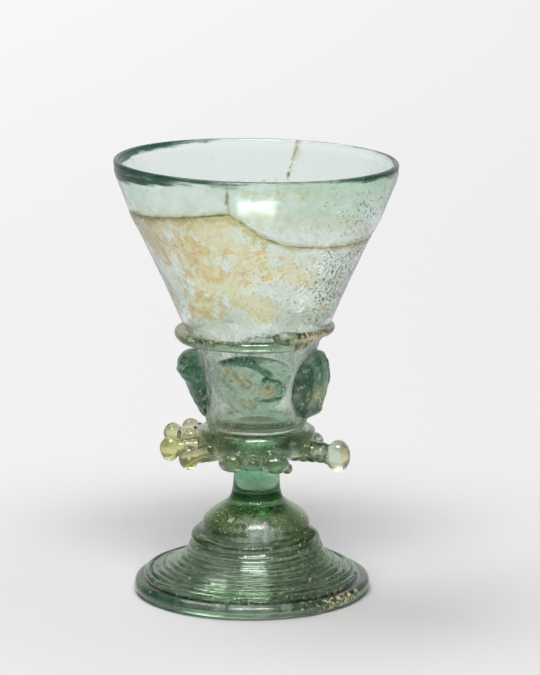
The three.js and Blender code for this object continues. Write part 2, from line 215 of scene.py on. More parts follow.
def makeFloor():
    look = floorLook
    bm = bmesh.new()
    bmesh.ops.create_circle(bm, cap_ends=True, segments=128, radius=look["radius"] * mm)
    floor = addMesh("floor", bm)
    material = bpy.data.materials.new("paperWhite")
    material.use_nodes = True
    tree = material.node_tree
    shader = tree.nodes["Principled BSDF"]
    place = placeInMm(tree)
    fine = grain(tree, place, look["grain"], 3)
    speckle = look["albedo"] * look["speckle"]
    shade = ramped(tree, fine, 0.2, 0.8, look["albedo"] - speckle, look["albedo"] + speckle)
    grey = addNode(tree, "CombineColor", values={0: shade, 1: shade, 2: shade})[0]
    fill(tree, shader, {"Base Color": grey, "Roughness": look["rough"], "Specular IOR Level": look["shine"]})

    # Plain white, which has the paper's edges only where it is seen through the glass or in it
    distance = addNode(tree, "VectorMath", {"operation": "LENGTH"}, {0: place})["Value"]
    # Painted light: the plain white grows brighter far off and towards the left
    white = ramped(tree, distance, look["farFrom"], look["farTo"], look["white"], look["farWhite"])
    parts = addNode(tree, "SeparateXYZ", values={0: place})
    side = parts["X"]
    tilted = maths(tree, "MINIMUM", maths(tree, "MAXIMUM", side, -look["tiltTo"]), look["tiltTo"])
    white = maths(tree, "MULTIPLY_ADD", tilted, -look["tilt"], white)
    beside = ramped(tree, maths(tree, "ABSOLUTE", side), look["sideFrom"], look["sideTo"], 1, look["beyond"])
    before = ramped(tree, parts["Y"], look["frontTo"], look["frontFrom"], look["beyond"], 1)
    ray = addNode(tree, "LightPath")
    mirrored = maths(tree, "SUBTRACT", ray["Is Glossy Ray"], ray["Is Transmission Ray"])
    paper = times(tree, beside, before)
    paper = times(tree, paper, mixed(tree, mirrored, 1, look["mirrored"]))
    paper = mixed(tree, ray["Is Camera Ray"], paper, 1)
    plain = addNode(tree, "Emission", values={"Strength": times(tree, white, paper)})

    # It takes over from the lit paper round the glass
    seen = maths(tree, "MAXIMUM", ray["Is Camera Ray"], ray["Is Glossy Ray"])
    seen = maths(tree, "MAXIMUM", seen, ray["Is Transmission Ray"])
    middle = (0, look["fadeAt"], 0)
    away = addNode(tree, "VectorMath", {"operation": "DISTANCE"}, {0: place, 1: middle})["Value"]
    share = times(tree, seen, ramped(tree, away, look["fadeFrom"], look["fadeTo"]))
    blend = addNode(tree, "MixShader", values={0: share, 1: shader.outputs[0], 2: plain[0]})
    fill(tree, tree.nodes["Material Output"], {"Surface": blend[0]})
    floor.data.materials.append(material)


makeCamera()
makeLamps()
makeSky()
makeFloor()
print("camera, lamps, room and floor made")


# Glass

plainGlass = {  # what a glass has unless its own look says otherwise; seeds are its small bubbles
    "surface": (1, 1, 1), "rough": 0.0, "ior": 1.5, "gloss": 0.0, "glossIor": 1.65, "glossRough": 0.02,
    "twist": 0.6, "seeds": 0.3, "seedSpacing": 1.5, "seedCore": 0.06, "seedEdge": 0.16, "seedHigh": 0.05,
}
plainCoat = {  # a coat shows where its noise is above bare, or above bare - cover at a painted level of 1
    "bare": 0.73, "cover": 0.46, "detail": 6, "broken": 0.62, "twist": 0.3, "strength": 1.0,
    "mottle": 0.3, "grit": 0.5,
}


def makeGlass(name, look):
    # Clear glass tinted at its surface and, where it is thick, by its depth, under patchy coats: weathering,
    # painted shade, painted highlights
    look = {**plainGlass, **look}
    material = bpy.data.materials.new(name)
    material.use_nodes = True
    tree = material.node_tree
    place = placeInMm(tree)
    streaks = grain(tree, placeInMm(tree, look["streak"]), 1, 2, 0.5, look["twist"])
    height = times(tree, streaks, look["ripple"])
    seeds = addNode(tree, "TexVoronoi", values={"Vector": place, "Scale": 1 / look["seedSpacing"]})
    bubble = ramped(tree, seeds["Distance"], look["seedCore"], look["seedEdge"], 1, 0)
    chance = addNode(tree, "SeparateColor", values={0: seeds["Color"]})[0]
    chosen = ramped(tree, chance, 1 - look["seeds"], 1.02 - look["seeds"])
    height = maths(tree, "MULTIPLY_ADD", times(tree, bubble, chosen), look["seedHigh"], height)
    colour = rgb(*look["surface"])
    clear = 1.0
    rough = look["rough"]
    for where, own in look["coats"].items():
        coat = {**plainCoat, **own}
        level = painted(tree, where)
        spread = placeInMm(tree, coat["stretch"]) if "stretch" in coat else place
        patch = grain(tree, spread, coat["size"], coat["detail"], coat["broken"], coat["twist"])
        cover = maths(tree, "MULTIPLY_ADD", level, coat["cover"], -coat["bare"])
        mask = ramped(tree, maths(tree, "ADD", patch, cover), -coat["soft"], coat["soft"])
        mask = times(tree, mask, ramped(tree, level, 0, 0.1))
        mask = times(tree, mask, coat["strength"])
        mottle = ramped(tree, grain(tree, place, coat["size"] * coat["mottle"], 5, 0.7), 0.35, 0.65)
        tint = mixedColour(tree, mottle, rgb(*coat["colour"]), rgb(*coat["other"]))
        colour = mixedColour(tree, mask, colour, tint)
        clear = mixed(tree, mask, clear, coat["clear"])
        rough = mixed(tree, mask, rough, coat["rough"])
        grit = times(tree, grain(tree, place, coat["grit"], 4, 0.7), coat["thick"])
        height = maths(tree, "MULTIPLY_ADD", mask, grit, height)
    bump = addNode(tree, "Bump", values={"Strength": 1, "Distance": mm, "Height": height})[0]
    fill(tree, tree.nodes["Principled BSDF"], {
        "Base Color": colour, "Transmission Weight": clear, "Roughness": rough, "Normal": bump,
        "IOR": look["ior"], "Coat Weight": look["gloss"], "Coat IOR": look["glossIor"],
        "Coat Roughness": look["glossRough"],
    })
    if "through" in look:
        depths = [-math.log(part) / (look["depth"] * mm) for part in look["through"]]
        density = max(depths)
        left = rgb(*[1 - part / density for part in depths])
        body = addNode(tree, "VolumeAbsorption", values={"Color": left, "Density": density})
        fill(tree, tree.nodes["Material Output"], {"Volume": body[0]})
    return material


def paint(mesh, name, level):  # level gives 0 to 1 at an angle, a radius and a height
    values = [min(max(level(*polar(vertex.co)), 0.0), 1.0) for vertex in mesh.vertices]
    attribute = mesh.attributes.new(name, "FLOAT", "POINT")
    attribute.data.foreach_set("value", values)


def hump(value, middle, spread):
    return math.exp(-(((value - middle) / spread) ** 2))


def rise(value, low, high):
    share = min(max((value - low) / (high - low), 0.0), 1.0)
    return share * share * (3 - 2 * share)


def makePiece(bm, name, nodes, materials, levels):
    if bm.calc_volume(signed=True) < 0:
        bmesh.ops.reverse_faces(bm, faces=bm.faces)
    piece = addMesh(name, bm)
    mesh = piece.data
    mesh.shade_smooth()
    for attribute, level in levels.items():
        paint(mesh, attribute, level)
    for material in materials:
        mesh.materials.append(material)
    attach(piece, "root")
    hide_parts(*nodes)
    print("made", name, len(mesh.polygons), "faces")


# Shape helpers

def curved(points, step):
    # A smooth line through points, as evenly spaced ones about a step apart
    spots = [Vector(point) for point in points]
    ends = [spots[0] * 2 - spots[1]] + spots + [spots[-1] * 2 - spots[-2]]
    line = []
    for before, start, end, after in zip(ends, ends[1:], ends[2:], ends[3:]):
        pieces = max(1, round((end - start).length / step))
        for i in range(pieces):
            t = i / pieces
            bend = (start * 2 + (end - before) * t + (before * 2 - start * 5 + end * 4 - after) * t * t
                    + (start * 3 - before - end * 3 + after) * t ** 3)
            line.append(tuple(bend / 2))
    return line + [tuple(spots[-1])]


def arc(middle, radius, start, end, steps):
    turns = [math.radians(start + (end - start) * i / steps) for i in range(steps + 1)]
    return [(middle[0] + radius * math.cos(turn), middle[1] + radius * math.sin(turn)) for turn in turns]


def valueAt(points, place, eased=False):  # on a line of (place, value) points
    for (start, low), (end, high) in zip(points, points[1:]):
        if place <= end:
            share = rise(place, start, end) if eased else (place - start) / (end - start)
            return low + (high - low) * share
    return points[-1][1]


def joined(bm, ends=False):  # merges the seams, closes open ends and turns the faces outwards
    bmesh.ops.remove_doubles(bm, verts=bm.verts, dist=0.001 * mm)
    if ends:
        bmesh.ops.holes_fill(bm, edges=[edge for edge in bm.edges if edge.is_boundary], sides=0)
    bmesh.ops.recalc_face_normals(bm, faces=bm.faces)
    return bm


def spun(outline, start=0.0, sweep=360.0, closed=True, stepAngle=1.5):
    bm = bmesh.new()
    line = [bm.verts.new((0, -radius * mm, height * mm)) for radius, height in outline]
    edges = [bm.edges.new(pair) for pair in zip(line, line[1:] + line[:1] if closed else line[1:])]
    bmesh.ops.rotate(bm, verts=line, cent=(0, 0, 0), matrix=Matrix.Rotation(math.radians(start), 3, "Z"))
    bmesh.ops.spin(bm, geom=line + edges, cent=(0, 0, 0), axis=(0, 0, 1), dvec=(0, 0, 0), use_duplicate=False,
                   angle=math.radians(sweep), steps=round(sweep / stepAngle), use_merge=sweep >= 360)
    joined(bm, ends=sweep < 360)
    # Spin leaves its faces in another order each run
    for place, face in enumerate(sorted(bm.faces, key=lambda face: tuple(face.calc_center_median()))):
        face.index = place
    bm.faces.sort()
    return bm


def waver(bm, amount, size, seed, keepLow=None):
    # Hand-blown unevenness: every point moves in or out by a slow noise
    for vertex in bm.verts:
        radius = math.hypot(vertex.co.x, vertex.co.y)
        if radius < mm:
            continue
        swell = noise.noise(vertex.co / (size * mm) + Vector((seed, seed * 2, seed * 3)))
        fade = 1 if keepLow is None else rise(vertex.co.z / mm, keepLow, keepLow + 2)
        move = 1 + amount * mm * swell * fade / radius
        vertex.co.x *= move
        vertex.co.y *= move


def fused(bm, voxel, rounds):
    # One closed skin round everything in the mesh, smoothed
    rough = addMesh("rough", bm)
    mesh = rough.data
    remesh = rough.modifiers.new("skin", "REMESH")
    remesh.mode = "VOXEL"
    remesh.voxel_size = voxel * mm
    shaped = rough.evaluated_get(bpy.context.evaluated_depsgraph_get())
    skin = bmesh.new()
    skin.from_mesh(shaped.to_mesh())
    bpy.data.objects.remove(rough)
    bpy.data.meshes.remove(mesh)
    for _ in range(rounds):
        bmesh.ops.smooth_vert(skin, verts=skin.verts, factor=0.5,
                              use_axis_x=True, use_axis_y=True, use_axis_z=True)
    return skin


# Bowl and rim fragments

bowl = {
    "outside": [  # radius, height
        (12.75, 44.2), (12.97, 46.4), (13.37, 49.8), (13.97, 53.6), (14.62, 58.5), (15.2, 62.4), (16.0, 64.8),
        (17.2, 66.4), (18.95, 70.2), (22.3, 78.0), (25.2, 84.2), (26.55, 87.2), (28.6, 91.4), (30.9, 95.5),
        (31.85, 97.9), (32.95, 100.8), (35.05, 106.2), (35.3, 108.4),
    ],
    "bendLow": 83, "crackLevel": 99, "keepHigh": 104.5,  # the rows between these follow the crack
    "wall": 1.2, "shaftWall": 1.4, "shaftTop": 60, "funnelLow": 70,
    "floor": 2.0, "corner": 2.2, "bead": 1.45,
    "frontCrack": -11.4, "backCrack": 164, "seam": -0.03, "split": -0.02,
    "leftCrack": [  # angle, height
        (-196, 99.4), (-150, 99.0), (-90, 97.7), (-54, 98.7), (-31, 100.2), (-11.4, 101.8),
    ],
    "rightCrack": [
        (-11.4, 101.8), (-4, 98.8), (2.8, 96.0), (12, 94.0), (21.7, 93.0), (35, 92.3), (49, 92.0),
        (71.6, 91.5), (120, 93.0), (164, 99.4),
    ],
    "clearLine": [(-196, 91), (-150, 91.2), (-120, 93.5), (-90, 96.4), (-60, 98.5)],  # weathered below
    "clearRight": [(100, 92.3), (164, 91)],
    "slant": -0.38, "slantFrom": 105, "slantWide": 14,  # the back crack leans, in degrees a millimetre
    "waver": 0.16, "waverSize": 14, "waverSeed": 3, "lean": 0.018, "leanFrom": 84,
}
bowlOutside = curved(bowl["outside"], 0.8)
bowlProfile = [(height, radius) for radius, height in bowlOutside]


def bowlRadius(height):
    return valueAt(bowlProfile, height)


def bowlWall(height):
    thicker = bowl["shaftWall"] - bowl["wall"]
    return bowl["wall"] + thicker * (1 - rise(height, bowl["shaftTop"], bowl["funnelLow"]))


def onLine(angle):  # the angle as the cracks' lines count it, which start at the back crack
    return angle - 360 if angle > bowl["backCrack"] else angle


def crackHeight(angle):
    angle = onLine(angle)
    return valueAt(bowl["leftCrack"] if angle < bowl["frontCrack"] else bowl["rightCrack"], angle)


def fitToCrack(bm, keep, side):
    # Moves the rows past the kept height, so that the outermost one follows the crack
    for vertex in bm.verts:
        angle, radius, height = polar(vertex.co)
        share = (height - keep) / (bowl["crackLevel"] - keep)
        if 0 < share <= 1.001:
            moved = keep + share * (crackHeight(angle) + side * bowl["seam"] / 2 - keep)
            vertex.co = around(angle, bowlRadius(moved) - (bowlRadius(height) - radius), moved)


def backCrackAt(height):
    return bowl["backCrack"] + bowl["slant"] * (height - bowl["slantFrom"])


def fromAngle(angle, middle):  # how far an angle lies from another, -180 to 180
    return (angle - middle + 180) % 360 - 180


def handBlown(bm):  # the wall is uneven, and the lip stands a little higher at the left
    waver(bm, bowl["waver"], bowl["waverSize"], bowl["waverSeed"], shaftBase)
    for vertex in bm.verts:
        vertex.co.z -= vertex.co.x * bowl["lean"] * rise(vertex.co.z / mm, bowl["leanFrom"], lipHeight)
    return bm


def markCrack(bm):  # the faces that were glued get the second material
    for face in bm.faces:
        level = all(abs(vertex.co.z / mm - bowl["crackLevel"]) < 0.01 for vertex in face.verts)
        face.material_index = 1 if level or len(face.verts) > 4 else 0
    for edge in bm.edges:
        edge.smooth = len({face.material_index for face in edge.link_faces}) == 1


def makeBowl():
    rounded = bowl["corner"]
    under = arc((bowlOutside[0][0] - rounded, shaftBase + rounded), rounded, -90, 0, 8)[:-1]
    outer = [(radius, height) for radius, height in bowlOutside if height < bowl["crackLevel"]]
    outer.append((bowlRadius(bowl["crackLevel"]), bowl["crackLevel"]))
    inner = [(radius - bowlWall(height), height) for radius, height in outer]
    floorHigh = shaftBase + bowl["floor"]
    inside = [spot for spot in inner if spot[1] > floorHigh + rounded]
    corner = arc((inside[0][0] - rounded, floorHigh + rounded), rounded, 0, -90, 8)[1:]
    outline = [(0, shaftBase), *under, *outer, *reversed(inside), *corner, (0, floorHigh)]
    bm = spun(outline, bowl["frontCrack"], closed=False)
    markCrack(bm)
    fitToCrack(bm, bowl["bendLow"], -1)
    return handBlown(bm)


def makeFragment(start, end):
    outer = [(radius, height) for radius, height in bowlOutside if height >= bowl["crackLevel"]]
    half = bowl["bead"] / 2
    bead = arc((rimRadius - half, lipHeight - half), half, -10, 190, 14)
    inner = [(radius - bowl["wall"], height) for radius, height in reversed(outer[:-1])]
    first = bowlRadius(bowl["crackLevel"])
    outline = [(first, bowl["crackLevel"]), *outer, *bead, *inner, (first - bowl["wall"], bowl["crackLevel"])]
    turn = math.degrees(bowl["split"] / 2 / outer[-1][0])
    bm = spun(outline, start + turn, end - start - 2 * turn)
    markCrack(bm)
    fitToCrack(bm, bowl["keepHigh"], 1)
    for vertex in bm.verts:
        angle, radius, height = polar(vertex.co)
        near = hump(fromAngle(angle, bowl["backCrack"]), 0, bowl["slantWide"])
        vertex.co = around(angle + (backCrackAt(height) - bowl["backCrack"]) * near, radius, height)
    return handBlown(bm)


def weatherTop(angle):  # the height below which the glass is weathered
    angle = onLine(angle)
    if angle < bowl["clearLine"][-1][0]:
        return valueAt(bowl["clearLine"], angle, eased=True)
    if angle > bowl["clearRight"][0][0]:
        return valueAt(bowl["clearRight"], angle, eased=True)
    return crackHeight(angle)


def nearCrack(angle, height, above, below):  # 1 on that height, falling to 0 above and below it
    gap = height - weatherTop(angle)
    return hump(gap, 0, above if gap > 0 else below)


def belowCrack(angle, height, fade):
    return rise(weatherTop(angle) - height, 0, fade)


greenTint = {"size": 5.0, "soft": 0.25, "colour": (0.58, 0.76, 0.58), "other": (0.74, 0.88, 0.74),
             "clear": 1.0, "rough": 0.03, "thick": 0.02}
bowlCoats = {
    "tint": greenTint,
    "haze": {"size": 9.0, "soft": 0.3, "colour": (0.88, 0.93, 0.86), "other": (0.93, 0.96, 0.92),
             "clear": 0.97, "rough": 0.1, "thick": 0.01},
    "film": {"size": 1.1, "soft": 0.14, "colour": (0.98, 1.0, 0.93), "other": (0.86, 0.95, 0.84),
             "clear": 0.5, "rough": 0.3, "thick": 0.06, "stretch": (1, 1, 2.2)},
    "stain": {"size": 2.2, "soft": 0.2, "colour": (0.60, 0.54, 0.24), "other": (0.86, 0.80, 0.48),
              "clear": 0.95, "rough": 0.3, "thick": 0.04},
    "crust": {"size": 4.0, "soft": 0.06, "colour": (0.99, 0.99, 0.94), "other": (0.88, 0.93, 0.82),
              "clear": 0.88, "rough": 0.25, "thick": 0.08, "strength": 0.7},
    "ochre": {"size": 7.5, "soft": 0.06, "colour": (0.94, 0.77, 0.34), "other": (1.0, 0.93, 0.60),
              "clear": 0.86, "rough": 0.16, "thick": 0.1, "strength": 0.95, "twist": 0.4},
    "orange": {"size": 4.5, "soft": 0.06, "colour": (0.88, 0.48, 0.12), "other": (0.96, 0.70, 0.30),
               "clear": 0.84, "rough": 0.2, "thick": 0.07, "strength": 0.9, "twist": 0.8},
    "sparkle": {"size": 0.8, "soft": 0.02, "colour": (1.0, 1.0, 0.95), "other": (1.0, 0.98, 0.84),
                "clear": 0.6, "rough": 0.25, "thick": 0.2, "detail": 3},
    "pits": {"size": 0.7, "soft": 0.02, "colour": (0.10, 0.11, 0.06), "other": (0.30, 0.30, 0.18),
             "clear": 0.5, "rough": 0.6, "thick": 0.1, "detail": 3},
    "glue": {"size": 2.0, "soft": 0.2, "colour": (0.20, 0.18, 0.07), "other": (0.46, 0.42, 0.20),
             "clear": 0.8, "rough": 0.3, "thick": 0.02},
}
weatheredGlass = makeGlass("weatheredGlass", {
    "surface": (0.895, 0.957, 0.925), "ripple": 0.06, "streak": (11, 11, 4), "seedSpacing": 1.6,
    "seeds": 0.25, "coats": bowlCoats,
})
clearGlass = makeGlass("clearGlass", {
    "surface": (0.88, 0.952, 0.93), "ripple": 0.06, "streak": (14, 14, 4), "seedSpacing": 1.8, "seeds": 0.2,
    "coats": {
        "tint": greenTint,
        # lip: the thick bead's dark green, partly painted shade
        "lip": {"size": 1.6, "soft": 0.16, "colour": (0.01, 0.05, 0.03), "other": (0.05, 0.15, 0.10),
                "clear": 1.0, "rough": 0.02, "thick": 0.04, "stretch": (6, 6, 0.9), "detail": 3},
        "stain": {"size": 2.4, "soft": 0.14, "colour": (0.58, 0.60, 0.32), "other": (0.78, 0.82, 0.56),
                  "clear": 0.95, "rough": 0.2, "thick": 0.03},
        "glue": bowlCoats["glue"],
        "pits": {**bowlCoats["pits"], "size": 0.8, "soft": 0.03, "colour": (0.2, 0.22, 0.14),
                 "other": (0.36, 0.38, 0.28), "thick": 0.08},
    },
})


def offMirror(angle, height):  # 0 where the far side throws back the front lamp, else 1
    return 1 - hump(abs(angle), 180, 17) * hump(height, 93, 6)


def onFunnel(angle, radius, height):  # 1 on the outside of the bowl's weathered part, less on its inside
    side = 0.3 + 0.7 * rise(radius - bowlRadius(height), -0.9, -0.4)
    side *= 1 - 0.35 * rise(abs(angle), 95, 135)
    return side * rise(height, 68, 74) * belowCrack(angle, height, 2.5) * offMirror(angle, height)


# Painted shade: the lip's dark green is partly the thick bead's green, partly shade laid on strongest at the
# left and right sides
def lipShadeLevel(angle, radius, height):  # the dark green in the lip comes lowest at the left
    low = 109.2 - 2.9 * hump(angle, -70, 42) - 1.5 * hump(angle, 70, 35)
    level = 0.5 + 0.6 * hump(angle, -90, 62) + 0.45 * hump(angle, 85, 45)
    return rise(height, low, low + 0.6) * level * (1 - 0.75 * rise(abs(angle), 145, 172))


def crackStain(angle, height):
    behind = rise(abs(angle), 80, 105)
    below = 2.8 if angle < 6 else 1.3
    return (0.85 - 0.4 * behind) * nearCrack(angle, height, 0.8 + behind, below + 3.5 * behind)


def glueLevel(angle, radius, height):
    front = hump(angle, bowl["frontCrack"], 0.8) * (0.25 + 0.6 * hump(height, 106.4, 1.6))
    back = hump(fromAngle(angle, backCrackAt(height)), 0, 0.8) * (0.3 + 0.4 * hump(height, 101, 1.5))
    along = 1.1 if -80 < angle < bowl["frontCrack"] else 0.55
    along *= 1 - 0.8 * rise(abs(angle), 85, 100)
    return max(along * hump(height - crackHeight(angle), 0, 0.3), max(front, back) * rise(height, 99, 101))


# Each level below is 0 to 1 at an angle a, a radius r and a height z

bodyLevels = {
    "haze": lambda a, r, z: (0.2 - 0.12 * (1 - rise(z, 44, 64))) * offMirror(a, z),
    "film": lambda a, r, z: (0.1 + 0.35 * rise(abs(a), 25, 45)) * (1 - rise(z, 66, 70)) * rise(z, 43, 46),
    "stain": lambda a, r, z: crackStain(a, z) + 0.6 * hump(a, -30, 60) * hump(z, 43, 3),
    "tint": lambda a, r, z: (0.1 + 0.85 * hump(z, 43, 4)) * (1 - rise(z, 64, 69)) + 0.35 * hump(z, 77, 5),
    "crust": lambda a, r, z: 0.36 * onFunnel(a, r, z) + 0.2 * hump(z, 72, 6),
    "ochre": lambda a, r, z: (0.24 + 0.44 * hump(a, -18, 46)) * onFunnel(a, r, z)
    * (1 - 0.5 * hump(z, 69, 5)),
    "orange": lambda a, r, z: (0.13 + 0.36 * hump(a, -38, 22) + 0.3 * hump(a, -2, 16) * hump(z, 89, 6))
    * onFunnel(a, r, z),
    "sparkle": lambda a, r, z: (0.1 + 0.14 * hump(a, 20, 40)) * onFunnel(a, r, z),
    "pits": lambda a, r, z: (0.1 + 0.26 * hump(a, 52, 24)) * onFunnel(a, r, z),
    "glue": glueLevel,
}
rimLevels = {
    "lip": lipShadeLevel,
    "tint": lambda a, r, z: rise(z, 95, 106)
    * (0.26 * (1 - rise(abs(a), 100, 130)) + 0.65 * hump(a, 50, 45) + 0.3 * hump(a, -70, 30)),
    "stain": lambda a, r, z: 0.5 * nearCrack(a, z, 1.2, 1) + 0.45 * hump(a, 10, 28) * hump(z, 107, 1.6)
    + 0.55 * hump(fromAngle(a, backCrackAt(z)), -1, 1.6) * rise(z, 100, 104),
    "pits": lambda a, r, z: 0.05 + 0.18 * hump(a, 58, 28) * hump(z, 100, 7),
    "glue": glueLevel,
}
gluedCrack = makeGlass("gluedCrack", {  # bends no light, as the glue fills it
    "ior": 1.0, "ripple": 0.0, "streak": (9, 9, 9), "seedSpacing": 2.0, "seeds": 0.0,
    "coats": {"glue": bowlCoats["glue"]},
})
makePiece(makeBowl(), "bowlBody", ["bowl_body"], [weatheredGlass, gluedCrack], bodyLevels)
cracks = [bowl["backCrack"] - 360, bowl["frontCrack"], bowl["backCrack"]]
for side, start, end in zip(("Left", "Right"), cracks, cracks[1:]):
    makePiece(makeFragment(start, end), "rimFragment" + side, ["rim_fragment_" + side.lower()],
              [clearGlass, gluedCrack], rimLevels)


# Coats shared by the thicker glass

goldFlecks = {"size": 0.9, "soft": 0.03, "colour": (0.76, 0.60, 0.26), "other": (0.94, 0.88, 0.58),
              "clear": 0.1, "rough": 0.55, "thick": 0.16, "detail": 4}
yellowTint = {"size": 6.0, "soft": 0.3, "colour": (0.93, 0.86, 0.36), "other": (0.82, 0.86, 0.42),
              "clear": 0.96, "rough": 0.05, "thick": 0.02}
darkTint = {"size": 5.0, "soft": 0.28, "colour": (0.12, 0.26, 0.18), "other": (0.20, 0.38, 0.26),
            "clear": 1.0, "rough": 0.04, "thick": 0.02}
paleFilmAndSheen = {"size": 1.8, "soft": 0.12, "colour": (0.86, 0.90, 0.82), "other": (0.66, 0.76, 0.66),
            "clear": 0.55, "rough": 0.4, "thick": 0.08}


# Thread round the waist

waistThread = {
    "height": 66.3, "climb": 2.5, "late": 3.4,  # it stays level, then rises over its own start
    "half": 1.42, "sink": 0.05, "shift": -0.6, "start": 62, "sweep": 408,
    "tail": 26, "thinFrom": 90, "thinTo": 60, "blobAt": 10, "blobWide": 8, "round": 8, "blunt": 3,  # degrees
    "thinner": 0.36, "blob": 0.7, "slope": 24,  # slope of the wall behind it
    "uneven": 0.14, "unevenSize": 4, "voxel": 0.2,
}


def tubeAlong(spot, steps, sides):
    # A bar of round section: spot gives its centre, its directions out and down and its half width at a share
    bm = bmesh.new()
    bmesh.ops.create_grid(bm, x_segments=steps, y_segments=sides, size=0.5)
    for vertex in bm.verts:
        centre, out, down, half = spot(vertex.co.x + 0.5)
        turn = (vertex.co.y + 0.5) * 2 * math.pi
        vertex.co = centre + (out * math.cos(turn) + down * math.sin(turn)) * half * mm
    return joined(bm)


def roundEnd(share):  # the half width of a round end, from its tip to where it is full
    return math.sqrt(max(0.0, 1 - max(0.0, 1 - share) ** 2))


def waistSpot(share):
    thread = waistThread
    gone = thread["sweep"] * share
    left = thread["sweep"] - gone
    angle = thread["start"] - gone
    height = thread["height"] + thread["climb"] * share ** thread["late"]
    half = thread["half"] - thread["thinner"] * (1 - rise(left, thread["thinTo"], thread["thinFrom"]))
    half += thread["blob"] * hump(left, thread["blobAt"], thread["blobWide"])
    half += thread["uneven"] * noise.noise(around(angle, 9, height * 3) / mm / thread["unevenSize"])
    half *= rise(gone, -thread["blunt"], thread["tail"])
    half = half * roundEnd(left / thread["round"]) * roundEnd(gone / thread["blunt"])
    lean = math.radians(thread["slope"])
    reach = bowlRadius(height) + half - thread["sink"]
    out = around(angle, math.cos(lean), -math.sin(lean)) / mm
    down = around(angle, -math.sin(lean), -math.cos(lean)) / mm
    return around(angle, reach, height) + Vector((thread["shift"] * mm, 0, 0)), out, down, half


threadGlass = makeGlass("waistThreadGlass", {
    "through": (0.66, 0.77, 0.62), "depth": 2.3, "rough": 0.02, "gloss": 0.6,
    "ripple": 0.02, "streak": (5, 5, 1.2), "seedSpacing": 1.4,
    "coats": {
        "yellow": {**yellowTint, "strength": 0.8}, "dark": darkTint,
        "amber": {**yellowTint, "colour": (0.95, 0.55, 0.25)}, "pale": paleFilmAndSheen, "gold": goldFlecks,
    },
})
windings = fused(tubeAlong(waistSpot, 520, 28), waistThread["voxel"], 2)
makePiece(windings, "waistThread", ["waist_thread"], [threadGlass], {
    "yellow": lambda a, r, z: 0.75 * hump(z, 67.6, 0.6) + 0.5 * hump(z, 65.0, 0.4),
    "dark": lambda a, r, z: 0.2 * hump(a, -35, 40)
    + 0.8 * rise(a, 25, 32) * (1 - rise(a, 62, 78)) * hump(z, 69.6, 0.5),
    "amber": lambda a, r, z: 0.9 * hump(a, -78, 16),
    # pale: a painted highlight on the top of the thread's end drop
    "pale": lambda a, r, z: 0.7 * hump(a, 20, 7) * rise(z, 68, 69.4),
    "gold": lambda a, r, z: (0.22 + 0.26 * hump(z, 67.8, 0.5)) * (1 - 0.8 * hump(a, 2, 14))
    + 0.36 * hump(a, 46, 14),
})


# Prunts

